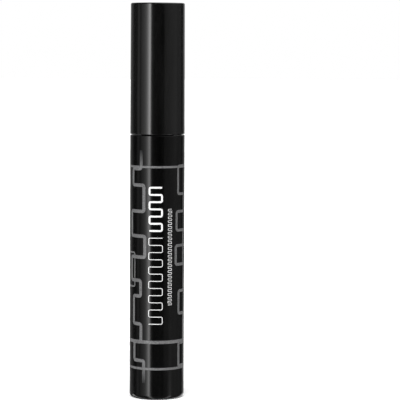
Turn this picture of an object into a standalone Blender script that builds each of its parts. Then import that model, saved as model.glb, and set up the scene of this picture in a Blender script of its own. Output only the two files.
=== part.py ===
"""A mascara tube, closed: a printed sleeve with its vial, wiper and paste, and a screw cap that
carries the applicator (rod, twisted wire and bristles) down into the vial.

Metres, +Z up. The origin is the middle of the base, on the axis that every piece shares.
Bottle pieces are modelled from the base upwards. Applicator pieces hang from an empty at the
cap's lower rim, so their heights are measured from that rim.
"""

import math

import bmesh
import bpy

MM = 0.001

# Overall form
TOTAL_HEIGHT = 132.4 * MM
TUBE_RADIUS = 9.15 * MM
SHELL_HEIGHT = 88.35 * MM
SEAM_GAP = 0.3 * MM
RIM_HEIGHT = SHELL_HEIGHT + SEAM_GAP  # the cap's lower rim, above the base

# Turned pieces
SEGMENTS = 40
ROD_SEGMENTS = 24
FILLET_STEPS = 3
SMOOTH_BELOW = math.radians(35)
FIT_GAP = 0.12 * MM  # between coaxial pieces that touch on the real object

# Outer sleeve of the bottle
SHELL_WALL = 1.1 * MM
SHELL_FLOOR_TOP = 2.0 * MM
BASE_ROUND = 1.3 * MM
EDGE_ROUND = 0.25 * MM
RECESS_RADIUS = 6.5 * MM
RECESS_DEPTH = 0.5 * MM
LABEL_THICKNESS = 0.2 * MM
LABEL_LOWER_FACE = 0.18 * MM

# Vial
VIAL_BASE = 2.15 * MM
VIAL_RADIUS = 7.5 * MM
VIAL_BORE = 6.4 * MM
VIAL_FLOOR = 1.2 * MM
FLANGE_TOP = SHELL_HEIGHT - 0.2 * MM
FLANGE_THICKNESS = 1.9 * MM
SHOULDER_DROP = 5.0 * MM
NECK_TOP = SHELL_HEIGHT + 11.05 * MM
NECK_RADIUS = 5.3 * MM
NECK_BORE = 4.3 * MM
NECK_BEAD_RADIUS = 5.9 * MM
NECK_BEAD_HEIGHT = SHELL_HEIGHT + 1.65 * MM

# Screw thread: the two ridges pass each other with a running gap
THREAD_PITCH = 2.6 * MM
THREAD_TURNS = 1.4
THREAD_START = SHELL_HEIGHT + 4.05 * MM
NECK_THREAD_CREST = 6.0 * MM
CAP_THREAD_CREST = 6.2 * MM
THREAD_ROOT_WIDTH = 1.0 * MM
THREAD_CREST_WIDTH = 0.45 * MM
THREAD_STEPS_PER_TURN = 20
THREAD_BURIED = 0.3 * MM

# Wiper
WIPER_FLANGE_RADIUS = 5.2 * MM
WIPER_FLANGE_THICKNESS = 0.7 * MM
WIPER_BORE = 3.55 * MM
WIPER_WALL = 0.6 * MM
WIPER_MOUTH = 4.1 * MM
WIPER_LIP_RADIUS = 2.3 * MM
WIPER_LIP_HEIGHT = NECK_TOP - 13.5 * MM
WIPER_CONE_TOP = NECK_TOP - 10.0 * MM

# Paste left standing against the vial's wall
PASTE_TOP = 63.0 * MM
PASTE_BORE = 4.35 * MM
PASTE_FLOOR = 1.6 * MM

# Cap shell, heights from its rim
CAP_HEIGHT = TOTAL_HEIGHT - RIM_HEIGHT
CAP_TOP_RADIUS = 9.0 * MM
CAP_WALL = 1.15 * MM
CAP_CROWN = 1.6 * MM
CROWN_ROUND = 0.5 * MM

# Inner cap, heights from the rim
SKIRT_BOTTOM = 1.0 * MM
SKIRT_RADIUS = 7.6 * MM
SKIRT_BORE = 6.6 * MM
CEILING = 12.85 * MM
CEILING_THICKNESS = 1.8 * MM
BOSS_TOP = 25.8 * MM
BOSS_RADIUS = 3.8 * MM
FIN_COUNT = 6
FIN_THICKNESS = 0.8 * MM
FIN_TOP = 24.4 * MM

# Rod, heights from the rim (its reach is below it)
ROD_REACH = 53.5 * MM
ROD_RADIUS = 2.06 * MM
ROD_TIP_SHAFT_RADIUS = 1.98 * MM
ROD_TIP_RADIUS = 0.95 * MM
ROD_OGIVE_LENGTH = 3.2 * MM
ROD_HEAD_RADIUS = 2.55 * MM
ROD_HEAD_TOP = 24.8 * MM
COLLAR_RADIUS = 3.4 * MM
COLLAR_LIP_RADIUS = 3.75 * MM
WIRE_SOCKET_RADIUS = 0.74 * MM
WIRE_SOCKET_DEPTH = 9.0 * MM

# Sealing washer around the rod's collar
GASKET_INNER_RADIUS = 3.52 * MM
GASKET_OUTER_RADIUS = 5.3 * MM
GASKET_THICKNESS = 1.0 * MM

# Brush: one wire folded at the tip, its two strands twisted left-handed round the bristles
BRUSH_LENGTH = 26.8 * MM
WIRE_RADIUS = 0.28 * MM
STRAND_OFFSET = 0.33 * MM
TWIST_PITCH = 3.2 * MM
WIRE_SHANK = 8.2 * MM
WIRE_STEPS_PER_TURN = 8
BRISTLE_TURNS = 8  # turns of each of the two spiral rows
BRISTLE_ROWS_TOP = 0.35 * MM  # below the rod's tip
BRISTLE_INNER_RADIUS = 0.72 * MM
BRISTLE_REACH = 3.7 * MM
BRISTLE_SWELL = 0.12 * MM
BRISTLE_TAPER = 3.5 * MM
BRISTLE_THICKNESS = 0.42 * MM
BRISTLE_STEPS = 18
BRISTLE_END_GAP = math.radians(14)


def clear_scene():
    for obj in list(bpy.data.objects):
        bpy.data.objects.remove(obj)


def finish(name, colour, roughness, metallic=0.0):
    material = bpy.data.materials.new(name)
    material.use_nodes = True
    shader = material.node_tree.nodes["Principled BSDF"]
    shader.inputs["Base Color"].default_value = (*colour, 1.0)
    shader.inputs["Roughness"].default_value = roughness
    shader.inputs["Metallic"].default_value = metallic
    return material


def empty_at(name, height):
    empty = bpy.data.objects.new(name, None)
    empty.location = (0.0, 0.0, height)
    bpy.context.collection.objects.link(empty)
    return empty


def place(obj, parent, material):
    """Adds an object to the scene under its parent, with its material and smooth round faces."""
    bpy.context.collection.objects.link(obj)
    obj.parent = parent
    obj.data.materials.append(material)
    if obj.type == "MESH":
        obj.data.shade_smooth()
        obj.data.set_sharp_from_angle(angle=SMOOTH_BELOW)
    return obj


def filleted(corners):
    """The outline through (radius, height) corners; a third number rounds that corner."""
    points = []
    last = len(corners) - 1
    for i, corner in enumerate(corners):
        if len(corner) == 2:
            points.append(corner)
            continue
        r, z, fillet = corner
        before = corners[i - 1]
        after = corners[0 if i == last else i + 1]
        towards_before = math.atan2(before[1] - z, before[0] - r)
        towards_after = math.atan2(after[1] - z, after[0] - r)
        opening = math.remainder(towards_after - towards_before, math.tau)
        bisector = towards_before + opening / 2
        half = abs(opening) / 2
        centre_r = r + math.cos(bisector) * fillet / math.sin(half)
        centre_z = z + math.sin(bisector) * fillet / math.sin(half)
        sweep = math.copysign(math.pi - 2 * half, -opening)
        start = bisector + math.pi - sweep / 2
        for step in range(FILLET_STEPS + 1):
            angle = start + sweep * step / FILLET_STEPS
            points.append((centre_r + math.cos(angle) * fillet, centre_z + math.sin(angle) * fillet))
    return points


def turned(name, corners, parent, material, segments=SEGMENTS):
    """A solid of revolution about +Z. The outline is closed, or starts and ends on the axis."""
    bm = bmesh.new()
    verts = [bm.verts.new((r, 0.0, z)) for r, z in filleted(corners)]
    edges = [bm.edges.new(pair) for pair in zip(verts, verts[1:])]
    if corners[0][0] > 0.0:
        edges.append(bm.edges.new((verts[-1], verts[0])))
    bmesh.ops.spin(
        bm,
        geom=verts + edges,
        cent=(0.0, 0.0, 0.0),
        axis=(0.0, 0.0, 1.0),
        angle=math.tau,
        steps=segments,
        use_merge=True,
    )
    bmesh.ops.remove_doubles(bm, verts=bm.verts, dist=1e-7)
    bmesh.ops.recalc_face_normals(bm, faces=bm.faces)
    mesh = bpy.data.meshes.new(name)
    bm.to_mesh(mesh)
    bm.free()
    return place(bpy.data.objects.new(name, mesh), parent, material)


def swept(name, sections):
    """A closed mesh through equal-sized sections, each a ring of points, with flat ends."""
    bm = bmesh.new()
    rings = [[bm.verts.new(point) for point in section] for section in sections]
    for ring, following in zip(rings, rings[1:]):
        for i in range(len(ring)):
            j = (i + 1) % len(ring)
            bm.faces.new((ring[i], ring[j], following[j], following[i]))
    bm.faces.new(rings[0])
    bm.faces.new(rings[-1])
    bmesh.ops.recalc_face_normals(bm, faces=bm.faces)
    mesh = bpy.data.meshes.new(name)
    bm.to_mesh(mesh)
    bm.free()
    return mesh


def on_circle(radius, angle, height):
    return (radius * math.cos(angle), radius * math.sin(angle), height)


def join(body, tool_mesh, parent):
    """Unites a tool with the body; the tool stays in the scene as a hidden guide."""
    tool = bpy.data.objects.new(tool_mesh.name, tool_mesh)
    bpy.context.collection.objects.link(tool)
    tool.parent = parent
    tool.hide_render = True
    tool.display_type = "WIRE"
    union = body.modifiers.new(tool.name, "BOOLEAN")
    union.operation = "UNION"
    union.object = tool


def thread_ridge(name, wall, crest, start):
    """A right-handed ridge on a wall, from its buried root to the crest, fading out at its ends."""
    buried = wall - math.copysign(THREAD_BURIED, crest - wall)
    steps = round(THREAD_TURNS * THREAD_STEPS_PER_TURN)
    sections = []
    for step in range(steps + 1):
        turn = step / THREAD_STEPS_PER_TURN
        middle = start + turn * THREAD_PITCH
        fade = min(1.0, 4 * turn, 4 * (THREAD_TURNS - turn))
        top = buried + (crest - buried) * (0.3 + 0.7 * fade)
        angle = math.tau * turn
        sections.append(
            [
                on_circle(buried, angle, middle - THREAD_ROOT_WIDTH / 2),
                on_circle(top, angle, middle - THREAD_CREST_WIDTH / 2),
                on_circle(top, angle, middle + THREAD_CREST_WIDTH / 2),
                on_circle(buried, angle, middle + THREAD_ROOT_WIDTH / 2),
            ]
        )
    return swept(name, sections)


def box_mesh(name, low, high, turn):
    """A box between two corners, turned about +Z."""
    section = []
    for x, y in ((low[0], low[1]), (high[0], low[1]), (high[0], high[1]), (low[0], high[1])):
        angle = math.atan2(y, x) + turn
        section.append((math.hypot(x, y), angle))
    return swept(name, [[on_circle(r, a, z) for r, a in section] for z in (low[2], high[2])])


def make_bottle_shell(parent):
    """Outer sleeve: closed base with a shallow label recess, open top."""
    inner = TUBE_RADIUS - SHELL_WALL
    outline = [
        (0.0, RECESS_DEPTH),
        (RECESS_RADIUS, RECESS_DEPTH),
        (RECESS_RADIUS, 0.0),
        (TUBE_RADIUS, 0.0, BASE_ROUND),
        (TUBE_RADIUS, SHELL_HEIGHT, EDGE_ROUND),
        (inner, SHELL_HEIGHT),
        (inner, SHELL_FLOOR_TOP, 0.6 * MM),
        (0.0, SHELL_FLOOR_TOP),
    ]
    turned("bottle_shell", outline, parent, finish("gloss_black", (0.008, 0.008, 0.009), 0.12))


def make_base_label(parent):
    top = LABEL_LOWER_FACE + LABEL_THICKNESS
    radius = RECESS_RADIUS - 0.3 * MM
    outline = [(0.0, top), (radius, top), (radius, LABEL_LOWER_FACE), (0.0, LABEL_LOWER_FACE)]
    turned("base_label", outline, parent, finish("label_white", (0.85, 0.85, 0.84), 0.5))


def make_inner_vial(parent):
    """Vial: flange that closes the sleeve's top, and a threaded neck with a bead under the thread."""
    shoulder = FLANGE_TOP - FLANGE_THICKNESS
    flange_radius = TUBE_RADIUS - SHELL_WALL - FIT_GAP
    bead = NECK_BEAD_HEIGHT
    outline = [
        (NECK_RADIUS, NECK_TOP, 0.2 * MM),
        (NECK_RADIUS, bead + 0.6 * MM),
        (NECK_BEAD_RADIUS, bead),
        (NECK_RADIUS, bead - 0.6 * MM),
        (NECK_RADIUS, FLANGE_TOP),
        (flange_radius, FLANGE_TOP),
        (flange_radius, shoulder),
        (VIAL_RADIUS, shoulder - 0.4 * MM),
        (VIAL_RADIUS, VIAL_BASE, 0.8 * MM),
        (0.0, VIAL_BASE),
        (0.0, VIAL_BASE + VIAL_FLOOR),
        (VIAL_BORE, VIAL_BASE + VIAL_FLOOR, 0.8 * MM),
        (VIAL_BORE, shoulder - SHOULDER_DROP),
        (NECK_BORE, shoulder),
        (NECK_BORE, NECK_TOP),
    ]
    # The outline is turned from the axis point outwards, so it starts at the floor's inner middle.
    outline = outline[10:] + outline[:10]
    vial = turned("inner_vial", outline, parent, finish("vial_plastic", (0.02, 0.02, 0.022), 0.35))
    join(vial, thread_ridge("neck_thread", NECK_RADIUS, NECK_THREAD_CREST, THREAD_START), parent)


def make_wiper(parent):
    """Wiper pressed in the neck: flange on the neck's rim, sleeve, and a cone down to its lip."""
    top = NECK_TOP + FIT_GAP + WIPER_FLANGE_THICKNESS
    sleeve = WIPER_BORE + WIPER_WALL
    outline = [
        (WIPER_FLANGE_RADIUS, top, 0.15 * MM),
        (WIPER_FLANGE_RADIUS, NECK_TOP + FIT_GAP),
        (sleeve, NECK_TOP + FIT_GAP),
        (sleeve, WIPER_CONE_TOP),
        (WIPER_LIP_RADIUS + 0.35 * MM, WIPER_LIP_HEIGHT),
        (WIPER_LIP_RADIUS, WIPER_LIP_HEIGHT),
        (WIPER_LIP_RADIUS, WIPER_LIP_HEIGHT + 0.4 * MM),
        (WIPER_BORE, WIPER_CONE_TOP + 0.5 * MM),
        (WIPER_BORE, top - 1.6 * MM),
        (WIPER_MOUTH, top),
    ]
    turned("wiper", outline, parent, finish("wiper_rubber", (0.05, 0.05, 0.05), 0.6))


def make_paste(parent):
    """Paste on the vial's wall and floor, with the well that the brush leaves in it."""
    floor = VIAL_BASE + VIAL_FLOOR + FIT_GAP
    outer = VIAL_BORE - FIT_GAP
    outline = [
        (0.0, floor + PASTE_FLOOR),
        (PASTE_BORE, floor + PASTE_FLOOR, 0.8 * MM),
        (PASTE_BORE, PASTE_TOP, 0.4 * MM),
        (outer, PASTE_TOP, 0.3 * MM),
        (outer, floor, 0.9 * MM),
        (0.0, floor),
    ]
    turned("mascara_paste", outline, parent, finish("paste", (0.01, 0.01, 0.01), 0.25))


def make_gasket(parent):
    low = NECK_TOP + FIT_GAP + WIPER_FLANGE_THICKNESS + FIT_GAP
    high = low + GASKET_THICKNESS
    outline = [
        (GASKET_OUTER_RADIUS, high),
        (GASKET_OUTER_RADIUS, low),
        (GASKET_INNER_RADIUS, low),
        (GASKET_INNER_RADIUS, high),
    ]
    turned("sealing_gasket", outline, parent, finish("gasket_foam", (0.75, 0.75, 0.74), 0.7))


def make_cap_shell(parent):
    inner_low = TUBE_RADIUS - CAP_WALL
    inner_high = CAP_TOP_RADIUS - CAP_WALL
    outline = [
        (0.0, CAP_HEIGHT),
        (CAP_TOP_RADIUS, CAP_HEIGHT, CROWN_ROUND),
        (TUBE_RADIUS, 0.0, EDGE_ROUND),
        (inner_low, 0.0, EDGE_ROUND),
        (inner_high, CAP_HEIGHT - CAP_CROWN, 0.8 * MM),
        (0.0, CAP_HEIGHT - CAP_CROWN),
    ]
    turned("cap_shell", outline, parent, finish("cap_gloss_black", (0.006, 0.006, 0.007), 0.08))


def make_inner_cap(parent):
    """Threaded inner cap: skirt, ceiling, and a finned boss that grips the rod's head."""
    bore = ROD_HEAD_RADIUS + FIT_GAP
    ceiling_top = CEILING + CEILING_THICKNESS
    outline = [
        (BOSS_RADIUS, BOSS_TOP),
        (BOSS_RADIUS, ceiling_top),
        (SKIRT_RADIUS, ceiling_top, 0.6 * MM),
        (SKIRT_RADIUS, SKIRT_BOTTOM),
        (SKIRT_BORE, SKIRT_BOTTOM),
        (SKIRT_BORE, CEILING),
        (bore, CEILING),
        (bore, BOSS_TOP),
    ]
    black = finish("inner_plastic", (0.015, 0.015, 0.016), 0.4)
    inner_cap = turned("inner_cap", outline, parent, black)
    start = THREAD_START + THREAD_PITCH / 2 - RIM_HEIGHT
    join(inner_cap, thread_ridge("cap_thread", SKIRT_BORE, CAP_THREAD_CREST, start), parent)
    for fin in range(FIN_COUNT):
        low = ((bore + BOSS_RADIUS) / 2, -FIN_THICKNESS / 2, ceiling_top - 0.9 * MM)
        high = (SKIRT_RADIUS - 0.2 * MM, FIN_THICKNESS / 2, FIN_TOP)
        turn = math.tau * (fin + 0.5) / FIN_COUNT
        join(inner_cap, box_mesh(f"fin_{fin + 1}", low, high, turn), parent)


def ogive(steps):
    """(radius, height above the rod's tip) down the rod's rounded end."""
    drop = ROD_TIP_SHAFT_RADIUS - ROD_TIP_RADIUS
    for step in range(steps + 1):
        part = step / steps
        height = ROD_OGIVE_LENGTH * (1.0 - math.sin(part * math.pi / 2))
        yield (ROD_TIP_RADIUS + drop * math.cos(part * math.pi / 2), height)


def make_rod(parent):
    """Rod: head held in the inner cap, sealing collar, long shaft, and a socket for the wire."""
    collar_top = CEILING - FIT_GAP
    gasket_low = NECK_TOP + 2 * FIT_GAP + WIPER_FLANGE_THICKNESS - RIM_HEIGHT
    lip = gasket_low - FIT_GAP
    outline = [
        (0.0, ROD_HEAD_TOP),
        (ROD_HEAD_RADIUS, ROD_HEAD_TOP, 0.4 * MM),
        (ROD_HEAD_RADIUS, collar_top),
        (COLLAR_RADIUS, collar_top),
        (COLLAR_RADIUS, lip),
        (COLLAR_LIP_RADIUS, lip - 0.1 * MM),
        (COLLAR_LIP_RADIUS - 0.1 * MM, lip - 0.45 * MM),
        (ROD_RADIUS, lip - 1.6 * MM),
    ]
    outline += [(r, z - ROD_REACH) for r, z in ogive(5)]
    outline += [
        (WIRE_SOCKET_RADIUS, -ROD_REACH),
        (WIRE_SOCKET_RADIUS, WIRE_SOCKET_DEPTH - ROD_REACH),
        (0.0, WIRE_SOCKET_DEPTH - ROD_REACH),
    ]
    rod_black = finish("rod_plastic", (0.01, 0.01, 0.012), 0.25)
    turned("applicator_rod", outline, parent, rod_black, ROD_SEGMENTS)


def twist_angle(height, brush_tip):
    """Where the first strand stands at this height: left-handed, so it turns back as it rises."""
    return -math.tau * (height - brush_tip) / TWIST_PITCH


def make_wire(parent):
    """One wire folded at the brush's tip; both strands run up into the rod's socket."""
    tip = -ROD_REACH - BRUSH_LENGTH
    fold = tip + WIRE_RADIUS + STRAND_OFFSET
    top = -ROD_REACH + WIRE_SHANK
    steps = round((top - fold) / TWIST_PITCH * WIRE_STEPS_PER_TURN)
    heights = [fold + (top - fold) * step / steps for step in range(steps + 1)]
    down = [on_circle(STRAND_OFFSET, twist_angle(z, tip), z) for z in reversed(heights)]
    back = [on_circle(STRAND_OFFSET, twist_angle(z, tip) + math.pi, z) for z in heights]
    turn = twist_angle(fold, tip)
    bend = []
    for step in range(1, 4):
        angle = math.pi * step / 4
        bend.append(
            on_circle(STRAND_OFFSET * math.cos(angle), turn, fold - STRAND_OFFSET * math.sin(angle))
        )
    curve = bpy.data.curves.new("wire_core", "CURVE")
    curve.dimensions = "3D"
    curve.bevel_depth = WIRE_RADIUS
    curve.bevel_resolution = 1
    curve.use_fill_caps = True
    spline = curve.splines.new("POLY")
    route = down + bend + back
    spline.points.add(len(route) - 1)
    for point, place_on_route in zip(spline.points, route):
        point.co = (*place_on_route, 1.0)
    wire = bpy.data.objects.new("wire_core", curve)
    place(wire, parent, finish("brush_wire", (0.03, 0.03, 0.032), 0.3, 0.8))


def bristle_reach(below_top, length):
    """Radius of the brush at a distance below its top: a slight swell, and rounded ends."""
    swell = BRISTLE_SWELL * math.sin(math.tau * (below_top / length - 0.5))
    at_top = max(0.0, 1.0 - below_top / BRISTLE_TAPER)
    at_tip = max(0.0, 1.0 - (length - below_top) / BRISTLE_TAPER)
    return (BRISTLE_REACH + swell) * (1 - 0.36 * at_top**2) * (1 - 0.45 * at_tip**2)


def make_bristle_rows(parent):
    """Bristles stand in two spiral rows between the strands; each turn of a row is one piece."""
    top = -ROD_REACH - BRISTLE_ROWS_TOP
    length = BRISTLE_TURNS * TWIST_PITCH
    brush_tip = -ROD_REACH - BRUSH_LENGTH
    black = finish("bristle", (0.012, 0.012, 0.012), 0.5)
    for row in range(2 * BRISTLE_TURNS):
        side = math.pi * (row % 2 + 0.5)
        row_top = top - TWIST_PITCH * (row // 2)
        sections = []
        for step in range(BRISTLE_STEPS + 1):
            part = step / BRISTLE_STEPS
            trimmed = BRISTLE_END_GAP / 2 / math.tau
            height = row_top - TWIST_PITCH * (trimmed + (1 - 2 * trimmed) * part)
            angle = twist_angle(height, brush_tip) + side
            reach = bristle_reach(top - height, length)
            low = height - BRISTLE_THICKNESS / 2
            high = height + BRISTLE_THICKNESS / 2
            sections.append(
                [
                    on_circle(BRISTLE_INNER_RADIUS, angle, low),
                    on_circle(reach, angle, low),
                    on_circle(reach, angle, high),
                    on_circle(BRISTLE_INNER_RADIUS, angle, high),
                ]
            )
        name = f"bristle_row_{row + 1:02d}"
        place(bpy.data.objects.new(name, swept(name, sections)), parent, black)


def main():
    clear_scene()
    bottle = empty_at("bottle_frame", 0.0)
    make_bottle_shell(bottle)
    make_base_label(bottle)
    make_inner_vial(bottle)
    make_wiper(bottle)
    make_paste(bottle)
    pull = empty_at("pull_frame", 0.0)
    make_gasket(pull)
    applicator = empty_at("applicator_frame", RIM_HEIGHT)
    make_cap_shell(applicator)
    make_inner_cap(applicator)
    make_rod(applicator)
    make_wire(applicator)
    make_bristle_rows(applicator)
    bpy.context.view_layer.update()


main()
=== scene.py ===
"""Looks of the mascara tube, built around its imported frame.

The tube's axis is +Z. Main heights and outer sizes come from the frame's nodes. Lengths are in
metres, except in the printed patterns. The printed front faces -Y, and the camera stands there.
"""

import math
import random

import bmesh
import bpy
from mathutils import Euler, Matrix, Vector


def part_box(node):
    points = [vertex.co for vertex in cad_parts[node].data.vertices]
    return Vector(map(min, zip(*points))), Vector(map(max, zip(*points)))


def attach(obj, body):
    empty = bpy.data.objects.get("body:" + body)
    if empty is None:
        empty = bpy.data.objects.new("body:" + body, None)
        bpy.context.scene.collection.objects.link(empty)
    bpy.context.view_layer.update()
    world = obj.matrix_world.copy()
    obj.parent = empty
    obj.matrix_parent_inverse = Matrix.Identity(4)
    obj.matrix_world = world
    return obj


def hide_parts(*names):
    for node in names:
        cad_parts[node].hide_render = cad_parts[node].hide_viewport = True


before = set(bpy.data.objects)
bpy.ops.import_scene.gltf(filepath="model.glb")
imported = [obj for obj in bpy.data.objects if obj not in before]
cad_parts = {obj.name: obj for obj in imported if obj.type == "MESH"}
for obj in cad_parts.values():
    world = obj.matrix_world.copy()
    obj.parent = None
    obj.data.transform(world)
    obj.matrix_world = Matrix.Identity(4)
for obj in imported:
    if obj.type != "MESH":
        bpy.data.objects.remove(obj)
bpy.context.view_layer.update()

MM = 0.001
FINE = 160  # segments round a turned piece, unless it names another number
MEDIUM = 96
EXTRA_FINE = 192  # the two outer shells
SMOOTH_BELOW = math.radians(32)


# ---------------------------------------------------------------- frame sizes


def low(node):
    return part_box(node)[0].z


def high(node):
    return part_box(node)[1].z


def radius(node):
    """Outer radius: the widest point of a node's faceted ring lies on +X or -X."""
    return max(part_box(node)[1].x, -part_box(node)[0].x)


TUBE_RADIUS = radius("bottle_shell")
SHELL_TOP = high("bottle_shell")
RIM = low("cap_shell")
CROWN = high("cap_shell")

# The screw, shared by the neck and the inner cap, and the inner cap's ceiling above the rod's collar
THREAD_PITCH = 2.6 * MM
THREAD_TURNS = 1.4
NECK_RADIUS = 5.3 * MM
INNER_CEILING = RIM + 12.85 * MM


# ---------------------------------------------------------------- mesh helpers


def filleted(corners, steps=7):
    """The outline through (radius, height) corners; a third number rounds that corner."""
    points = []
    for i, corner in enumerate(corners):
        if len(corner) == 2:
            points.append(tuple(corner))
            continue
        r, z, fillet = corner
        before = corners[i - 1]
        after = corners[(i + 1) % len(corners)]
        towards_before = math.atan2(before[1] - z, before[0] - r)
        towards_after = math.atan2(after[1] - z, after[0] - r)
        opening = math.remainder(towards_after - towards_before, math.tau)
        bisector = towards_before + opening / 2
        half = abs(opening) / 2
        centre_r = r + math.cos(bisector) * fillet / math.sin(half)
        centre_z = z + math.sin(bisector) * fillet / math.sin(half)
        sweep = math.copysign(math.pi - 2 * half, -opening)
        start = bisector + math.pi - sweep / 2
        for step in range(steps + 1):
            angle = start + sweep * step / steps
            points.append((centre_r + math.cos(angle) * fillet, centre_z + math.sin(angle) * fillet))
    return points


def held(points, closed, hold=0.06 * MM):
    """Adds a point just inside each end of a long straight run, so smooth shading stays at its edge."""
    result = []
    count = len(points)
    for i in range(count if closed else count - 1):
        a = Vector(points[i])
        b = Vector(points[(i + 1) % count])
        result.append(tuple(a))
        if (b - a).length > 6 * hold:
            step = (b - a).normalized() * hold
            result.append(tuple(a + step))
            result.append(tuple(b - step))
    if not closed:
        result.append(points[-1])
    return result


def mesh_object(name, vertices, faces, material, sharp=SMOOTH_BELOW):
    """A smooth-shaded object whose faces all point out."""
    mesh = bpy.data.meshes.new(name)
    mesh.from_pydata(vertices, [], faces)
    bm = bmesh.new()
    bm.from_mesh(mesh)
    bmesh.ops.recalc_face_normals(bm, faces=bm.faces)
    bm.to_mesh(mesh)
    bm.free()
    mesh.shade_smooth()
    mesh.set_sharp_from_angle(angle=sharp)
    mesh.materials.append(material)
    obj = bpy.data.objects.new(name, mesh)
    bpy.context.collection.objects.link(obj)
    return obj


def ring_point(r, angle, z):
    return (r * math.cos(angle), r * math.sin(angle), z)


def turned(name, corners, material, segments=FINE, ripple=None):
    """A solid of revolution. ripple(r, angle, z) may move a point to another (r, z)."""
    closed = corners[0][0] > 0.0
    outline = held(filleted(corners), closed)
    vertices = []
    rings = []
    for r, z in outline:
        if r < 1e-9:
            rings.append([len(vertices)] * segments)
            vertices.append((0.0, 0.0, z))
            continue
        rings.append(list(range(len(vertices), len(vertices) + segments)))
        for s in range(segments):
            angle = math.tau * s / segments
            at_r, at_z = ripple(r, angle, z) if ripple else (r, z)
            vertices.append(ring_point(at_r, angle, at_z))
    faces = []
    pairs = list(zip(rings, rings[1:]))
    if closed:
        pairs.append((rings[-1], rings[0]))
    for upper, lower in pairs:
        for s in range(segments):
            t = (s + 1) % segments
            face = list(dict.fromkeys((upper[s], lower[s], lower[t], upper[t])))
            if len(face) > 2:
                faces.append(face)
    return mesh_object(name, vertices, faces, material)


def skinned(sections):
    """(vertices, faces) of a closed solid through equal-sized sections, with flat ends."""
    vertices = [point for section in sections for point in section]
    size = len(sections[0])
    faces = [list(range(size))]
    for ring in range(len(sections) - 1):
        for i in range(size):
            j = (i + 1) % size
            a = ring * size
            faces.append([a + i, a + j, a + size + j, a + size + i])
    faces.append(list(range(len(vertices) - size, len(vertices))))
    return vertices, faces


def combined(parts):
    """One (vertices, faces) pair from several."""
    vertices = []
    faces = []
    for more_vertices, more_faces in parts:
        offset = len(vertices)
        vertices += more_vertices
        faces += [[offset + index for index in face] for face in more_faces]
    return vertices, faces


def tube(path, radii, sides=8):
    """A closed tube along a path, one radius for each of its points."""
    path = [Vector(point) for point in path]
    sections = []
    side = None
    for i, point in enumerate(path):
        along = (path[min(i + 1, len(path) - 1)] - path[max(i - 1, 0)]).normalized()
        if side is None:
            side = along.orthogonal().normalized()
        side = (side - along * side.dot(along)).normalized()
        other = along.cross(side)
        section = []
        for k in range(sides):
            angle = math.tau * k / sides
            section.append(tuple(point + (side * math.cos(angle) + other * math.sin(angle)) * radii[i]))
        sections.append(section)
    return skinned(sections)


def thread(wall, crest, start, pitch, turns):
    """(vertices, faces) of a right-handed rounded thread ridge, buried in its wall, fading at its ends."""
    steps_per_turn = 72
    root_width = 1.0 * MM
    crest_width = 0.5 * MM
    buried = wall - math.copysign(0.15 * MM, crest - wall)
    sections = []
    for step in range(round(turns * steps_per_turn) + 1):
        turn = step / steps_per_turn
        middle = start + turn * pitch
        fade = min(1.0, 5 * turn, 5 * (turns - turn))
        fade = fade * fade * (3 - 2 * fade)
        top = buried + (crest - buried) * (0.3 + 0.7 * fade)
        shoulder = top - (top - buried) * 0.16
        angle = math.tau * turn
        section = [
            ring_point(buried, angle, middle - root_width / 2),
            ring_point(shoulder, angle, middle - crest_width / 2),
            ring_point(top, angle, middle - crest_width / 4),
            ring_point(top, angle, middle + crest_width / 4),
            ring_point(shoulder, angle, middle + crest_width / 2),
            ring_point(buried, angle, middle + root_width / 2),
        ]
        sections.append(section)
    return skinned(sections)


def put(obj, body, slot, *nodes):
    """The piece rides on its body and stands for CAD nodes, which it hides. Its slot argument is not used.
    """
    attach(obj, body)
    if nodes:
        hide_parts(*nodes)
    return obj


# ---------------------------------------------------------------- materials


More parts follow.
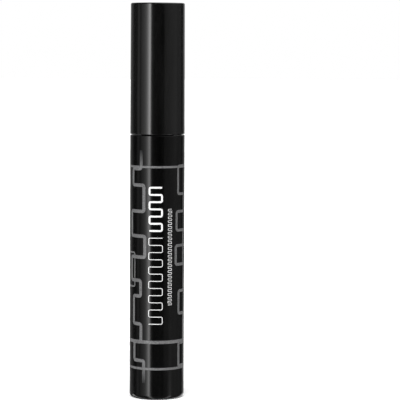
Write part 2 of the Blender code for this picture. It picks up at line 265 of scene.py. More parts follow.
class Finish:
    """A Principled material with a few chained procedural textures on object coordinates."""

    def __init__(self, name):
        self.material = bpy.data.materials.new(name)
        self.material.use_nodes = True
        self.tree = self.material.node_tree
        self.shader = self.tree.nodes["Principled BSDF"]
        self.coordinates = self.tree.nodes.new("ShaderNodeTexCoord").outputs["Object"]

    def set(self, **values):
        for socket, value in values.items():
            name = socket.replace("_", " ").title().replace("Ior", "IOR")
            self.shader.inputs[name].default_value = value
        return self

    def stretched(self, scale):
        mapping = self.tree.nodes.new("ShaderNodeMapping")
        mapping.inputs["Scale"].default_value = scale
        self.tree.links.new(self.coordinates, mapping.inputs["Vector"])
        return mapping.outputs["Vector"]

    def noise(self, size, detail=2.0, stretch=None, distortion=0.0):
        """Noise whose features are about this size, in metres."""
        node = self.tree.nodes.new("ShaderNodeTexNoise")
        node.inputs["Scale"].default_value = 1.0 / size
        node.inputs["Detail"].default_value = detail
        node.inputs["Distortion"].default_value = distortion
        source = self.stretched(stretch) if stretch else self.coordinates
        self.tree.links.new(source, node.inputs["Vector"])
        return node.outputs["Fac"]

    def cells(self, size):
        node = self.tree.nodes.new("ShaderNodeTexVoronoi")
        node.inputs["Scale"].default_value = 1.0 / size
        self.tree.links.new(self.coordinates, node.inputs["Vector"])
        return node.outputs["Distance"]

    def ramp(self, factor, *stops):
        """A colour ramp; each stop is (position, value) or (position, (r, g, b))."""
        node = self.tree.nodes.new("ShaderNodeValToRGB")
        elements = node.color_ramp.elements
        while len(elements) < len(stops):
            elements.new(0.5)
        for element, (position, value) in zip(elements, stops):
            element.position = position
            element.color = (*value, 1.0) if isinstance(value, tuple) else (value, value, value, 1.0)
        self.tree.links.new(factor, node.inputs["Fac"])
        return node.outputs["Color"]

    def times(self, first, second):
        node = self.tree.nodes.new("ShaderNodeMix")
        node.data_type = "RGBA"
        node.blend_type = "MULTIPLY"
        node.inputs["Factor"].default_value = 1.0
        self.tree.links.new(first, node.inputs["A"])
        self.tree.links.new(second, node.inputs["B"])
        return node.outputs["Result"]

    def attribute(self, name):
        node = self.tree.nodes.new("ShaderNodeAttribute")
        node.attribute_name = name
        return node.outputs["Fac"]

    def feed(self, socket, output):
        self.tree.links.new(output, self.shader.inputs[socket])
        return self

    def bump(self, *layers):
        """Chained bumps; each layer is (height output, depth in metres)."""
        normal = None
        for height, depth in layers:
            node = self.tree.nodes.new("ShaderNodeBump")
            node.inputs["Distance"].default_value = depth
            self.tree.links.new(height, node.inputs["Height"])
            if normal:
                self.tree.links.new(normal, node.inputs["Normal"])
            normal = node.outputs["Normal"]
        self.tree.links.new(normal, self.shader.inputs["Normal"])
        return self


def moulded(name, dark, light, smooth, rough, depth, specular=0.5):
    """Injection-moulded plastic: faint mottle, smudged gloss, and a very fine surface grain."""
    finish = Finish(name).set(specular_ior_level=specular)
    smudges = finish.noise(9 * MM, 4.0, distortion=0.6)
    grain = finish.noise(0.35 * MM, 3.0)
    flow = finish.noise(2.5 * MM, 2.0, stretch=(1.0, 1.0, 0.12))
    finish.feed("Base Color", finish.ramp(flow, (0.3, dark), (0.7, light)))
    finish.feed("Roughness", finish.ramp(smudges, (0.35, smooth), (0.7, rough)))
    finish.bump((flow, depth), (grain, depth * 0.35))
    return finish.material


def printing_ink(name, colour, bright, roughness):
    """Screen-printed ink: fine flecks, a soft cloud of tone, and a fade where a line runs out."""
    finish = Finish(name).set(roughness=roughness, specular_ior_level=0.4)
    flecks = finish.noise(0.3 * MM, 4.0)
    cloud = finish.noise(3.0 * MM, 2.0)
    body = finish.ramp(flecks, (0.3, colour), (0.72, bright))
    shade = finish.ramp(cloud, (0.3, 0.86), (0.7, 1.0))
    strength = finish.ramp(finish.attribute("ink_strength"), (0.0, 0.03), (1.0, 1.0))
    finish.feed("Base Color", finish.times(finish.times(body, shade), strength))
    finish.bump((flecks, 0.006 * MM))
    return finish.material


def paper_label():
    finish = Finish("label_paper").set(roughness=0.55, specular_ior_level=0.35)
    fibres = finish.noise(0.25 * MM, 5.0, stretch=(1.0, 0.3, 1.0))
    tone = finish.noise(4 * MM, 3.0)
    finish.feed("Base Color", finish.ramp(tone, (0.3, (0.78, 0.78, 0.76)), (0.7, (0.86, 0.86, 0.85))))
    finish.bump((fibres, 0.02 * MM))
    return finish.material


def foam():
    finish = Finish("closed_cell_foam").set(specular_ior_level=0.25)
    cells = finish.cells(0.22 * MM)
    tone = finish.noise(1.2 * MM, 3.0)
    finish.feed("Base Color", finish.ramp(tone, (0.3, (0.62, 0.62, 0.60)), (0.7, (0.76, 0.76, 0.74))))
    finish.feed("Roughness", finish.ramp(tone, (0.3, 0.6), (0.7, 0.85)))
    finish.bump((cells, 0.05 * MM))
    return finish.material


def soft_rubber():
    finish = Finish("wiper_rubber").set(specular_ior_level=0.4, sheen_weight=0.15)
    skin = finish.noise(0.3 * MM, 4.0)
    tone = finish.noise(2.0 * MM, 2.0)
    finish.feed("Base Color", finish.ramp(tone, (0.3, 0.022), (0.7, 0.04)))
    finish.feed("Roughness", finish.ramp(skin, (0.3, 0.42), (0.7, 0.6)))
    finish.bump((skin, 0.015 * MM))
    return finish.material


def wet_paste():
    finish = Finish("mascara_paste").set(specular_ior_level=0.6, coat_weight=0.35, coat_roughness=0.12)
    lumps = finish.noise(1.4 * MM, 4.0, distortion=1.2)
    streaks = finish.noise(0.7 * MM, 3.0, stretch=(1.0, 1.0, 0.2))
    finish.feed("Base Color", finish.ramp(lumps, (0.3, 0.004), (0.75, 0.012)))
    finish.feed("Roughness", finish.ramp(streaks, (0.3, 0.16), (0.7, 0.42)))
    finish.bump((lumps, 0.25 * MM), (streaks, 0.06 * MM))
    return finish.material


def blackened_wire():
    """Coated steel: drawing marks along the strand, with brighter rubbed patches."""
    finish = Finish("blackened_wire").set(specular_ior_level=0.5)
    rubbed = finish.noise(0.9 * MM, 3.0)
    marks = finish.noise(0.08 * MM, 2.0, stretch=(1.0, 1.0, 0.25))
    finish.feed("Base Color", finish.ramp(rubbed, (0.45, 0.006), (0.75, 0.035)))
    finish.feed("Metallic", finish.ramp(rubbed, (0.4, 0.35), (0.75, 0.8)))
    finish.feed("Roughness", finish.ramp(marks, (0.3, 0.24), (0.7, 0.42)))
    finish.bump((marks, 0.008 * MM))
    return finish.material


def nylon():
    """Bristle filament: black nylon with a slight mottle of tone, and a finer one of gloss."""
    finish = Finish("bristle_nylon").set(specular_ior_level=0.3)
    tone = finish.noise(0.5 * MM, 2.0)
    ground = finish.noise(0.06 * MM, 2.0)
    finish.feed("Base Color", finish.ramp(tone, (0.3, 0.002), (0.75, 0.012)))
    finish.feed("Roughness", finish.ramp(ground, (0.3, 0.35), (0.7, 0.6)))
    finish.bump((ground, 0.004 * MM))
    return finish.material


CAP_PLASTIC = moulded("cap_gloss", 0.002, 0.004, 0.12, 0.155, 0.004 * MM)
SHELL_PLASTIC = moulded("shell_gloss", 0.001, 0.0025, 0.13, 0.17, 0.004 * MM, specular=0.3)
INNER_PLASTIC = moulded("inner_plastic", 0.010, 0.016, 0.34, 0.46, 0.02 * MM)
VIAL_PLASTIC = moulded("vial_plastic", 0.008, 0.014, 0.24, 0.34, 0.012 * MM)
ROD_PLASTIC = moulded("rod_plastic", 0.002, 0.004, 0.14, 0.19, 0.002 * MM, specular=0.4)
GREY_INK = printing_ink("print_grey", (0.05, 0.05, 0.051), (0.19, 0.19, 0.192), 0.42)
WHITE_INK = printing_ink("print_white", (0.66, 0.66, 0.66), (0.8, 0.8, 0.8), 0.5)
BLACK_INK = printing_ink("label_black", (0.02, 0.02, 0.02), (0.04, 0.04, 0.04), 0.5)


# ---------------------------------------------------------------- printed lines

INK_LIFT = 0.018 * MM  # the ink's outer face above the sleeve
INK_SINK = 0.012 * MM  # its inner face inside the sleeve
CORNER_ROUND = 0.75 * MM
FADE_LENGTH = 6.0 * MM


def rounded_route(corners, corner_round):
    """Points along a flat route with rounded corners, close enough to follow the tube's curve."""
    corners = [Vector(corner) for corner in corners]
    points = [corners[0]]
    for before, corner, after in zip(corners, corners[1:], corners[2:]):
        back = before - corner
        ahead = after - corner
        cut = min(corner_round, 0.49 * back.length, 0.49 * ahead.length)
        start = corner + back.normalized() * cut
        end = corner + ahead.normalized() * cut
        for step in range(9):
            t = step / 8
            points.append(start * (1 - t) ** 2 + corner * 2 * t * (1 - t) + end * t**2)
    points.append(corners[-1])
    dense = [points[0]]
    for a, b in zip(points, points[1:]):
        pieces = max(1, math.ceil((b - a).length / (0.4 * MM)))
        dense += [a.lerp(b, k / pieces) for k in range(1, pieces + 1)]
    return dense


def ink_strip(route, widths, lift, fade_start=False, fade_end=False, corner_round=CORNER_ROUND):
    """(vertices, faces, strengths) of one printed line, between its start and end widths. A route's
    points are (arc, height) on the sleeve, where arc runs to the right from the middle of the front."""
    points = rounded_route(route, corner_round)
    lengths = [0.0]
    for a, b in zip(points, points[1:]):
        lengths.append(lengths[-1] + (b - a).length)
    sections = []
    strengths = []
    for i, point in enumerate(points):
        along = (points[min(i + 1, len(points) - 1)] - points[max(i - 1, 0)]).normalized()
        width = widths[0] + (widths[1] - widths[0]) * lengths[i] / lengths[-1]
        across = Vector((-along.y, along.x)) * width / 2
        section = []
        for edge, r in ((1, lift), (-1, lift), (-1, -INK_SINK), (1, -INK_SINK)):
            arc, height = point + across * edge
            angle = arc / TUBE_RADIUS - math.pi / 2
            section.append(ring_point(TUBE_RADIUS + r, angle, height))
        sections.append(section)
        strength = 1.0
        if fade_start:
            strength = min(strength, lengths[i] / FADE_LENGTH)
        if fade_end:
            strength = min(strength, (lengths[-1] - lengths[i]) / FADE_LENGTH)
        strengths += [strength] * len(section)
    vertices, faces = skinned(sections)
    return vertices, faces, strengths


def printed(name, strips, material, slot):
    """One piece from several ink strips, with how strongly each point is printed."""
    vertices, faces = combined([strip[:2] for strip in strips])
    obj = mesh_object(name, vertices, faces, material)
    strengths = [value for strip in strips for value in strip[2]]
    attribute = obj.data.attributes.new("ink_strength", "FLOAT", "POINT")
    attribute.data.foreach_set("value", strengths)
    return put(obj, "bottle", slot)


# The line pattern is laid out by rule, in millimetres round and up the sleeve
PANEL_LEFT = -3.6  # the front panel between these arcs is left for the waves
PANEL_RIGHT = 5.9
COLUMNS = 6
STEP_REACH = 3.2  # how far a stepped line may swing from the middle of its column
COLUMN_MARGIN = 0.6
RINGS = ((10.5, 0.8), (19.5, 1.1), (78.0, 0.7))  # (height, width)
BROAD_WIDTHS = (0.6, 1.2)
THIN_WIDTH = 0.5
LIFT_STEP = 0.0006  # each line lies this much above the last, so crossing lines never share a face
PATTERN_SEED = 4


def stepped_route(rng, middle, bottom, top, shortest, longest):
    """Corners of a line that climbs in square steps, swinging left and right of its column."""
    swing = rng.choice((-1, 1))
    arc = middle + swing * rng.uniform(0.4, 1.0) * STEP_REACH
    height = bottom
    corners = [(arc, height)]
    while top - height > longest:
        height += rng.uniform(shortest, longest)
        corners.append((arc, height))
        swing = -swing
        arc = middle + swing * rng.uniform(0.4, 1.0) * STEP_REACH
        corners.append((arc, height))
    corners.append((arc, top))
    return corners


def make_lines():
    """Plain grey rings, and stepped lines in even columns all round except on the front panel."""
    rng = random.Random(PATTERN_SEED)
    round_sleeve = math.tau * TUBE_RADIUS / MM
    first = PANEL_RIGHT + STEP_REACH + COLUMN_MARGIN
    last = round_sleeve + PANEL_LEFT - STEP_REACH - COLUMN_MARGIN
    spacing = (last - first) / (COLUMNS - 1)
    routes = []
    for height, width in RINGS:
        corners = [(-round_sleeve / 2, height), (round_sleeve / 2, height)]
        routes.append((corners, width, width, False))
    for column in range(COLUMNS):
        middle = first + column * spacing
        corners = stepped_route(rng, middle, rng.uniform(5.0, 8.0), rng.uniform(82.0, 85.5), 5.0, 10.0)
        routes.append((corners, rng.uniform(*BROAD_WIDTHS), rng.uniform(*BROAD_WIDTHS), True))
    for gap in range(COLUMNS - 1):
        middle = first + (gap + 0.5) * spacing
        corners = stepped_route(rng, middle, rng.uniform(24.0, 34.0), rng.uniform(60.0, 72.0), 8.0, 14.0)
        routes.append((corners, THIN_WIDTH, THIN_WIDTH, True))
    strips = []
    for number, (corners, start_width, end_width, fades) in enumerate(routes):
        route = [(arc * MM, height * MM) for arc, height in corners]
        lift = INK_LIFT + number * LIFT_STEP * MM
        strips.append(ink_strip(route, (start_width * MM, end_width * MM), lift, fades, fades))
    printed("print_lines", strips, GREY_INK, "print_grey")


def serpentine(left, right, bottom, top, spacing, width):
    """A plain square-wave stripe up the sleeve between two arcs, with its cross strokes this far apart."""
    strokes = round((top - bottom) / spacing) + 1
    route = []
    for stroke in range(strokes):
        height = (bottom + (top - bottom) * stroke / (strokes - 1)) * MM
        ends = (left, right) if stroke % 2 == 0 else (right, left)
        route += [(ends[0] * MM, height), (ends[1] * MM, height)]
    return ink_strip(route, (width * MM, width * MM), INK_LIFT, corner_round=0.24 * spacing * MM)


# Plain waves on the front panel: (left, right, bottom, top, spacing, width) in millimetres
THIN_WAVE = (-2.8, 1.8, 25.6, 54.4, 2.4, 0.22)
BOLD_WAVE = (-2.6, 1.6, 56.8, 71.2, 2.4, 0.6)
FINE_WAVE = (3.8, 5.1, 32.0, 64.0, 0.64, 0.14)


def make_print():
    """Grey lines all round the sleeve; on its front a bold, a thin and a fine wave."""
    make_lines()
    marks = [serpentine(*wave) for wave in (THIN_WAVE, BOLD_WAVE, FINE_WAVE)]
    printed("print_marks", marks, WHITE_INK, "print_white")


# ---------------------------------------------------------------- bottle side


def make_bottle_shell():
    """Sleeve: rounded foot, label recess, rounded rim, and a plain bore down to its inner floor."""
    wall = 1.1 * MM
    recess = 6.5 * MM
    depth = 0.5 * MM
    inner = TUBE_RADIUS - wall
    outline = [
        (0.0, depth),
        (recess, depth, 0.12 * MM),
        (recess, 0.0, 0.15 * MM),
        (TUBE_RADIUS, 0.0, 1.3 * MM),
        (TUBE_RADIUS, SHELL_TOP, 0.16 * MM),
        (inner, SHELL_TOP, 0.16 * MM),
        (inner, 2.0 * MM, 0.6 * MM),
        (0.0, 2.0 * MM),
    ]
    sleeve = turned("bottle_sleeve", outline, SHELL_PLASTIC, EXTRA_FINE)
    put(sleeve, "bottle", "shell_gloss", "bottle_shell")


# Bars on the base label: (y, length, thickness) in millimetres
LABEL_BARS = ((2.6, 5.6, 1.1), (0.9, 7.6, 0.45), (-0.1, 6.2, 0.45), (-2.2, 3.2, 0.7))


def make_label():
    """Round base label with plain bars where a shade name and a batch code would be."""
    lower = low("base_label")
    upper = high("base_label")
    r = radius("base_label")
    outline = [(0.0, upper), (r, upper, 0.03 * MM), (r, lower, 0.06 * MM), (0.0, lower)]
    put(turned("round_label", outline, paper_label(), MEDIUM), "bottle", "label", "base_label")
    bars = []
    for y, length, thick in LABEL_BARS:
        section = []
        for z in (lower - 0.015 * MM, lower + 0.01 * MM):
            left, right = -length / 2 * MM, length / 2 * MM
            near, far = (y - thick / 2) * MM, (y + thick / 2) * MM
            section.append([(left, near, z), (right, near, z), (right, far, z), (left, far, z)])
        bars.append(skinned(section))
    vertices, faces = combined(bars)
    strengths = [1.0] * len(vertices)
    obj = mesh_object("label_bars", vertices, faces, BLACK_INK)
    obj.data.attributes.new("ink_strength", "FLOAT", "POINT").data.foreach_set("value", strengths)
    put(obj, "bottle", "label")


def make_vial():
    """Vial: flange, neck with a bead and a thread, and the bore that grips the wiper."""
    top = high("inner_vial")
    flange = radius("inner_vial")
    flange_top = SHELL_TOP - 0.2 * MM
    shoulder = flange_top - 1.9 * MM
    neck = NECK_RADIUS
    bead = flange_top + 1.85 * MM
    base = low("inner_vial")
    outline = [
        (0.0, base + 1.2 * MM),
        (6.4 * MM, base + 1.2 * MM, 0.8 * MM),
        (6.4 * MM, shoulder - 5.0 * MM, 1.5 * MM),
        (4.3 * MM, shoulder, 1.0 * MM),
        (4.3 * MM, top, 0.15 * MM),
        (neck, top, 0.3 * MM),
        (neck, bead + 0.6 * MM, 0.2 * MM),
        (5.9 * MM, bead, 0.25 * MM),
        (neck, bead - 0.6 * MM, 0.2 * MM),
        (neck, flange_top, 0.4 * MM),
        (flange, flange_top, 0.2 * MM),
        (flange, shoulder, 0.1 * MM),
        (7.5 * MM, shoulder - 0.4 * MM, 0.2 * MM),
        (7.5 * MM, base, 0.8 * MM),
        (0.0, base),
    ]
    vial = turned("vial", outline, VIAL_PLASTIC, MEDIUM)
    put(vial, "bottle", "vial_plastic", "inner_vial")
    ridge = thread(neck, 6.0 * MM, top - 7.0 * MM, THREAD_PITCH, THREAD_TURNS)
    put(mesh_object("neck_thread", *ridge, VIAL_PLASTIC), "bottle", "vial_plastic")


def make_wiper():
    top = high("wiper")
    lip = low("wiper")
    flange = top - 0.7 * MM
    outline = [
        (radius("wiper"), top, 0.25 * MM),
        (radius("wiper"), flange, 0.1 * MM),
        (4.15 * MM, flange, 0.1 * MM),
        (4.15 * MM, lip + 3.5 * MM, 0.8 * MM),
        (2.65 * MM, lip, 0.12 * MM),
        (2.3 * MM, lip, 0.15 * MM),
        (2.3 * MM, lip + 0.4 * MM, 0.2 * MM),
        (3.55 * MM, lip + 4.0 * MM, 0.8 * MM),
        (3.55 * MM, top - 1.6 * MM, 0.6 * MM),
        (4.1 * MM, top, 0.18 * MM),
    ]
    put(turned("wiper_insert", outline, soft_rubber(), MEDIUM), "bottle", "wiper_rubber", "wiper")


def make_paste():
    """Paste standing against the vial's wall: its edge is uneven, and its well is streaked."""
    top = high("mascara_paste")
    base = low("mascara_paste")
    outer = radius("mascara_paste")
    well = 4.4 * MM
    floor = base + 1.6 * MM

    def ripple(r, angle, z):
        wave = math.sin(2 * angle + 0.6) + 0.6 * math.sin(5 * angle + 190 * z) + 0.4 * math.sin(9 * angle)
        rise = max(0.0, (z - base) / (top - base)) ** 6
        if r < outer - 0.3 * MM and z > floor + 0.5 * MM:
            r += 0.14 * MM * wave * math.sin(math.pi * min(1.0, (z - floor) / (4 * MM)) / 2)
        return r, z - rise * 0.7 * MM * (1.0 + 0.5 * wave)

    outline = [(0.0, floor), (well, floor, 0.8 * MM)]
    steps = 40
    for step in range(1, steps):
        outline.append((well, floor + 1.0 * MM + (top - floor - 2.0 * MM) * step / steps))
    outline += [
        (well + 0.1 * MM, top, 0.5 * MM),
        (outer, top, 0.3 * MM),
        (outer, base, 0.9 * MM),
        (0.0, base),
    ]
    paste = turned("paste_lining", outline, wet_paste(), MEDIUM, ripple)
    put(paste, "bottle", "paste", "mascara_paste")


# ---------------------------------------------------------------- applicator side


def make_cap_shell():
    """Cap: gloss shell with a slight moulding draft, a barely domed crown and a rounded mouth."""
    wall = 1.15 * MM
    top_radius = TUBE_RADIUS - 0.15 * MM
    outline = [
        (0.0, CROWN),
        (top_radius * 0.5, CROWN - 0.02 * MM, 3.0 * MM),
        (top_radius, CROWN - 0.1 * MM, 0.5 * MM),
        (TUBE_RADIUS, RIM, 0.18 * MM),
        (TUBE_RADIUS - wall, RIM, 0.26 * MM),
        (top_radius - wall, CROWN - 1.6 * MM, 0.8 * MM),
        (0.0, CROWN - 1.6 * MM),
    ]
    put(turned("cap_outer", outline, CAP_PLASTIC, EXTRA_FINE), "applicator", "cap_gloss", "cap_shell")


def make_inner_cap():
    """Inner cap: ribbed skirt, ceiling, internal thread, and a finned boss round the rod's head."""
    bottom = low("inner_cap")
    top = high("inner_cap")
    skirt = 7.57 * MM
    bore = 6.6 * MM
    ceiling = INNER_CEILING
    deck = ceiling + 1.8 * MM
    boss = 3.8 * MM
    socket = 2.67 * MM
    ribs = 36

    def ripple(r, angle, z):
        if r > skirt - 0.01 * MM and bottom + 0.4 * MM < z < deck - 0.7 * MM:
            r -= 0.14 * MM * (0.5 - 0.5 * math.cos(ribs * angle))
        return r, z

    outline = [
        (boss, top, 0.2 * MM),
        (boss, deck, 0.3 * MM),
        (skirt, deck, 0.6 * MM),
        (skirt, bottom, 0.15 * MM),
        (bore, bottom, 0.3 * MM),
        (bore, ceiling, 0.3 * MM),
        (socket, ceiling, 0.1 * MM),
        (socket, top, 0.1 * MM),
    ]
    inner = turned("cap_insert", outline, INNER_PLASTIC, ribs * 8, ripple)
    put(inner, "applicator", "inner_plastic", "inner_cap")
    ridge = thread(bore, 6.2 * MM, RIM + 5.05 * MM, THREAD_PITCH, THREAD_TURNS)
    put(mesh_object("cap_thread", *ridge, INNER_PLASTIC), "applicator", "inner_plastic")
    fins = []
    for fin in range(6):
        angle = math.tau * (fin + 0.5) / 6
        out = Vector((math.cos(angle), math.sin(angle), 0.0))
        side = Vector((-math.sin(angle), math.cos(angle), 0.0)) * 0.4 * MM
        sections = []
        for distance, height in ((boss - 0.2 * MM, 9.6), (6.75 * MM, 9.6), (7.35 * MM, 8.6)):
            foot = out * distance + Vector((0.0, 0.0, deck - 0.1 * MM))
            head = out * distance + Vector((0.0, 0.0, deck + height * MM))
            corners = (foot - side, foot + side, head + side, head - side)
            sections.append([tuple(corner) for corner in corners])
        fins.append(skinned(sections))
    put(mesh_object("insert_fins", *combined(fins), INNER_PLASTIC), "applicator", "inner_plastic")


def make_gasket():
    bottom = low("sealing_gasket")
    top = high("sealing_gasket")
    inner = 3.52 * MM
    outer = radius("sealing_gasket")
    edge = 0.12 * MM
    outline = [(outer, top, edge), (outer, bottom, edge), (inner, bottom, edge), (inner, top, edge)]
    put(turned("foam_washer", outline, foam(), MEDIUM), "gasket", "gasket_foam", "sealing_gasket")


ROD_TIP = low("applicator_rod")
ROD_TOP = high("applicator_rod")
ROD_RADIUS = 2.06 * MM


def make_rod():
    """Rod: head, sealing collar with its lip, long shaft and a bullet-shaped end round the wire."""
    collar_top = INNER_CEILING - 0.12 * MM
    lip = low("sealing_gasket") - 0.12 * MM
    tip_shaft = 1.98 * MM
    tip = 0.92 * MM
    end_length = 3.4 * MM
    socket = 0.74 * MM
    outline = [
        (0.0, ROD_TOP),
        (2.55 * MM, ROD_TOP, 0.4 * MM),
        (2.55 * MM, collar_top, 0.1 * MM),
        (3.4 * MM, collar_top, 0.12 * MM),
        (3.4 * MM, lip, 0.1 * MM),
        (3.75 * MM, lip - 0.1 * MM, 0.1 * MM),
        (3.65 * MM, lip - 0.45 * MM, 0.12 * MM),
        (ROD_RADIUS, lip - 1.6 * MM, 0.8 * MM),
    ]
    steps = 14
    for step in range(steps + 1):
        part = step / steps * math.pi / 2
        r = tip + (tip_shaft - tip) * math.cos(part)
        outline.append((r, ROD_TIP + end_length * (1.0 - math.sin(part)) + 0.02 * MM))
    outline += [
        (tip - 0.1 * MM, ROD_TIP),
        (socket, ROD_TIP + 0.05 * MM),
        (socket, ROD_TIP + 9.0 * MM),
        (0.0, ROD_TIP + 9.0 * MM),
    ]
    rod = turned("rod", outline, ROD_PLASTIC, 64)
    put(rod, "applicator", "rod_plastic", "applicator_rod")


# The brush: strands and bristle rows share one left-handed twist
TWIST_PITCH = 3.2 * MM
BRUSH_TIP = low("wire_core")
WIRE_TOP = high("wire_core")
STRAND_OFFSET = 0.33 * MM
STRAND_RADIUS = 0.35 * MM
ROWS = sum(name.startswith("bristle_row_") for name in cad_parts)
BRISTLES_TOP = high("bristle_row_01")
BRISTLES_LENGTH = ROWS / 2 * TWIST_PITCH
FILAMENTS_PER_ROW = 84
BRISTLE_SEED = 11


def twist(height):
    return -math.tau * (height - BRUSH_TIP) / TWIST_PITCH


def make_wire():
    """One wire folded at the tip: both strands climb, twisted together, into the rod. The fold lies
    in the XZ plane, and the twist takes up its own angle over the first turn."""
    fold = BRUSH_TIP + STRAND_RADIUS + STRAND_OFFSET
    steps = round((WIRE_TOP - fold) / TWIST_PITCH * 20)
    heights = [fold + (WIRE_TOP - fold) * step / steps for step in range(steps + 1)]

    def turn_at(z):
        share = min(1.0, (z - fold) / TWIST_PITCH)
        return twist(z) - twist(fold) * (1.0 - share)

    down = [ring_point(STRAND_OFFSET, turn_at(z), z) for z in reversed(heights)]
    back = [ring_point(STRAND_OFFSET, turn_at(z) + math.pi, z) for z in heights]
    bend = []
    for step in range(1, 8):
        angle = math.pi * step / 8
        reach = STRAND_OFFSET * math.cos(angle)
        bend.append((reach, 0.0, fold - STRAND_OFFSET * math.sin(angle)))
    route = down + bend + back
    wire = tube(route, [STRAND_RADIUS] * len(route), 12)
    put(mesh_object("twisted_wire", *wire, blackened_wire()), "applicator", "wire", "wire_core")


def reach_at(height):
    """The brush's radius: a slight swell, and rounded ends."""
    below = BRISTLES_TOP - height
    swell = 0.12 * MM * math.sin(math.tau * (below / BRISTLES_LENGTH - 0.5))
    taper = 3.5 * MM
    at_top = max(0.0, 1.0 - below / taper)
    at_tip = max(0.0, 1.0 - (BRISTLES_LENGTH - below) / taper)
    return (3.7 * MM + swell) * (1 - 0.36 * at_top**2) * (1 - 0.45 * at_tip**2)


def filament(rng, height, angle, lean, lift):
    """(vertices, faces) of one crimped nylon filament, from the wire's middle outwards."""
    reach = reach_at(height) * (1.03 - 0.22 * rng.random() ** 2)
    phase = rng.uniform(0.0, math.tau)
    crimp = rng.uniform(0.07, 0.16) * MM
    waves = rng.uniform(1.6, 2.3)
    out = Vector((math.cos(angle), math.sin(angle), 0.0))
    side = Vector((-math.sin(angle), math.cos(angle), 0.0))
    steps = 9
    path = []
    radii = []
    for step in range(steps + 1):
        part = step / steps
        wave = crimp * part * math.sin(math.tau * waves * part + phase)
        sway = crimp * part * math.cos(math.tau * waves * part + phase)
        point = out * (0.12 * MM + (reach - 0.12 * MM) * part)
        point += side * (lean * part**1.4 + sway)
        point += Vector((0.0, 0.0, height + lift * part**1.4 + wave))
        path.append(point)
        radii.append((0.075 - 0.02 * part) * MM)
    return tube(path, radii, 4)


def make_bristles():
    """Each CAD row becomes its filaments. Neighbours lean together in small clumps at their tips."""
    rng = random.Random(BRISTLE_SEED)
    material = nylon()
    for row in range(ROWS):
        side = math.pi * (row % 2 + 0.5)
        top = BRISTLES_TOP - TWIST_PITCH * (row // 2)
        filaments = []
        left_in_clump = 0
        for number in range(FILAMENTS_PER_ROW):
            if left_in_clump == 0:
                left_in_clump = rng.randint(2, 5)
                clump_middle = number + left_in_clump / 2
                clump_lift = rng.uniform(-0.8, 0.8) * MM
            left_in_clump -= 1
            height = top - TWIST_PITCH * (number + rng.uniform(0.2, 0.8)) / FILAMENTS_PER_ROW
            angle = twist(height) + side + rng.gauss(0.0, 0.05)
            off_middle = (number - clump_middle) / FILAMENTS_PER_ROW
            pull = rng.uniform(0.55, 0.95)
            lean = off_middle * math.tau * reach_at(height) * pull * -1.0
            lift = clump_lift + off_middle * TWIST_PITCH * pull + rng.gauss(0.0, 0.1 * MM)
            filaments.append(filament(rng, height, angle, lean, lift))
        name = f"bristles_{row + 1:02d}"
        obj = mesh_object(name, *combined(filaments), material, sharp=math.radians(70))
        put(obj, "applicator", "bristle", f"bristle_row_{row + 1:02d}")


# ---------------------------------------------------------------- studio


FLOOR_GLOW = 0.12  # keeps the contact shadow faint


def make_floor():
    finish = Finish("pale_floor").set(roughness=0.9, specular_ior_level=0.1, emission_strength=FLOOR_GLOW)
    tone = finish.noise(0.4, 2.0)
    finish.set(emission_color=(1.0, 1.0, 1.0, 1.0))
    finish.feed("Base Color", finish.ramp(tone, (0.3, 0.93), (0.7, 0.95)))
    size = 6.0
    corners = [(-size, -size, 0.0), (size, -size, 0.0), (size, size, 0.0), (-size, size, 0.0)]
    floor = mesh_object("floor", corners, [[0, 1, 2, 3]], finish.material)
    floor.visible_glossy = False  # a dark table edge is what the gloss sees in a studio, not a white floor


# Tall light panels round the object: (degrees to the right of the camera, brightness)
PANELS = (
    (-180, 0.3),
    (-168, 0.5),
    (-157, 0.3),
    (-142, 0.24),
    (-128, 0.16),
    (-118, 0.04),
    (-97, 0.04),
    (-91, 0.34),
    (-83, 0.34),
    (-78, 0.05),
    (-73, 0.36),
    (-60, 0.7),
    (-49, 1.4),
    (-41, 3.2),
    (-37, 5.6),
    (-33, 7.6),
    (-30.5, 6.0),
    (-28, 0.9),
    (-23, 0.12),
    (-14, 0.0),
    (26, 0.0),
    (31, 0.18),
    (60, 0.29),
    (86, 0.34),
    (92, 0.24),
    (118, 0.16),
    (124, 0.02),
    (134, 0.05),
    (142, 0.34),
    (158, 0.4),
    (168, 0.5),
    (180, 0.3),
)
BRIGHTEST = 7.6
# Narrow lamps standing low round the table, seen in the gloss from higher viewpoints
LAMPS = 4
FIRST_LAMP = -31.0
LAMP_BRIGHTNESS = 4.0
LAMP_SHARPNESS = 10.0
TABLE_GLOW = 0.16
LAMPS_BELOW = -0.19  # sine of the elevation below which the lamps show
LAMPS_FULL = -0.225
# The ceiling is lit on its right half
CEILING_DARK = 0.1
CEILING_LIT = 1.5
CEILING_FROM = 0.45
CEILING_FULL = 0.65


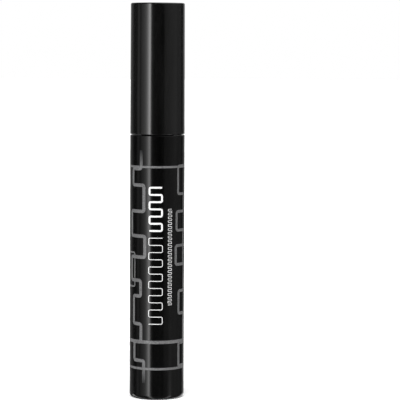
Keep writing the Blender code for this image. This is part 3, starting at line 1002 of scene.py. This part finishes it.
class World:
    """Builds the studio's world shader from small maths steps."""

    def __init__(self):
        world = bpy.data.worlds.new("studio")
        bpy.context.scene.world = world
        world.use_nodes = True
        self.tree = world.node_tree
        self.tree.nodes.clear()

    def node(self, kind):
        return self.tree.nodes.new(kind)

    def plug(self, value, socket):
        if isinstance(value, (int, float)):
            socket.default_value = value
        else:
            self.tree.links.new(value, socket)

    def maths(self, operation, *values):
        node = self.node("ShaderNodeMath")
        node.operation = operation
        for socket, value in zip(node.inputs, values):
            self.plug(value, socket)
        return node.outputs[0]

    def step(self, value, start, end):
        node = self.node("ShaderNodeMapRange")
        node.interpolation_type = "SMOOTHSTEP"
        self.plug(value, node.inputs["Value"])
        node.inputs["From Min"].default_value = start
        node.inputs["From Max"].default_value = end
        return node.outputs["Result"]

    def mix(self, share, first, second):
        node = self.node("ShaderNodeMix")
        self.plug(share, node.inputs["Factor"])
        self.plug(first, node.inputs["A"])
        self.plug(second, node.inputs["B"])
        return node.outputs["Result"]

    def around(self, turn, stops, brightest):
        """Brightness from (degrees, brightness) stops, where turn runs from 0 to 1 over -180 to 180."""
        ramp = self.node("ShaderNodeValToRGB")
        elements = ramp.color_ramp.elements
        while len(elements) < len(stops):
            elements.new(0.5)
        for element, (degrees, brightness) in zip(elements, stops):
            share = brightness / brightest
            element.position = degrees / 360 + 0.5
            element.color = (share, share, share, 1.0)
        self.plug(turn, ramp.inputs["Fac"])
        return self.maths("MULTIPLY", ramp.outputs["Color"], brightest)

    def background(self, strength):
        node = self.node("ShaderNodeBackground")
        node.inputs["Color"].default_value = (1.0, 1.0, 1.0, 1.0)
        self.plug(strength, node.inputs["Strength"])
        return node.outputs[0]


def make_studio():
    """Soft studio: panels round the object, lamps low down, a ceiling, and a plain white backdrop."""
    world = World()
    direction = world.node("ShaderNodeSeparateXYZ")
    world.plug(world.node("ShaderNodeTexCoord").outputs["Generated"], direction.inputs[0])
    right, back, up = direction.outputs
    azimuth = world.maths("ARCTAN2", right, world.maths("MULTIPLY", back, -1.0))
    turn = world.maths("ADD", world.maths("DIVIDE", azimuth, math.tau), 0.5)
    panels = world.around(turn, PANELS, BRIGHTEST)
    from_lamp = world.maths("SUBTRACT", azimuth, math.radians(FIRST_LAMP))
    wave = world.maths("COSINE", world.maths("MULTIPLY", from_lamp, LAMPS))
    lamp = world.maths("POWER", world.maths("MAXIMUM", wave, 0.0), LAMP_SHARPNESS)
    low_light = world.maths("ADD", world.maths("MULTIPLY", lamp, LAMP_BRIGHTNESS), TABLE_GLOW)
    lit_side = world.step(right, -0.35, 0.45)
    ceiling = world.mix(lit_side, CEILING_DARK, CEILING_LIT)
    walls = world.mix(world.step(up, LAMPS_FULL, LAMPS_BELOW), low_light, panels)
    studio = world.background(world.mix(world.step(up, CEILING_FROM, CEILING_FULL), walls, ceiling))
    backdrop = world.background(1.0)
    seen = world.node("ShaderNodeMixShader")
    world.plug(world.node("ShaderNodeLightPath").outputs["Is Camera Ray"], seen.inputs["Fac"])
    world.plug(studio, seen.inputs[1])
    world.plug(backdrop, seen.inputs[2])
    world.plug(seen.outputs[0], world.node("ShaderNodeOutputWorld").inputs["Surface"])


SOFTBOX_STRENGTH = 3.3
SOFTBOX_SPREAD = math.radians(60)


def make_softbox():
    """Broad light from above the camera's left. The gloss doesn't mirror it, so its edges stay dark."""
    data = bpy.data.lights.new("softbox", "SUN")
    data.energy = SOFTBOX_STRENGTH
    data.angle = SOFTBOX_SPREAD
    light = bpy.data.objects.new("softbox", data)
    light.rotation_euler = (math.radians(30), math.radians(-12), 0.0)
    light.visible_glossy = False
    bpy.context.collection.objects.link(light)


CAMERA_DISTANCE = 0.678
CAMERA_HEIGHT = 0.1189
LENS = 182.15
PITCH = math.radians(4.421)
YAW = math.radians(1.214)
ROLL = math.radians(0.29)


def make_camera():
    """Long lens, level with the cap, so the rings open up towards the base."""
    data = bpy.data.cameras.new("camera")
    data.lens = LENS
    data.sensor_width = 36.0
    camera = bpy.data.objects.new("camera", data)
    camera.location = (0.0, -CAMERA_DISTANCE, CAMERA_HEIGHT)
    aim = Euler((math.pi / 2 - PITCH, 0.0, -YAW)).to_matrix()
    camera.rotation_euler = (aim @ Euler((0.0, 0.0, ROLL)).to_matrix()).to_euler()
    bpy.context.collection.objects.link(camera)
    bpy.context.scene.camera = camera
    bpy.context.scene.view_settings.view_transform = "Standard"


make_bottle_shell()
make_label()
make_vial()
make_wiper()
make_paste()
make_print()
make_cap_shell()
make_inner_cap()
make_gasket()
make_rod()
make_wire()
make_bristles()
make_floor()
make_studio()
make_softbox()
make_camera()
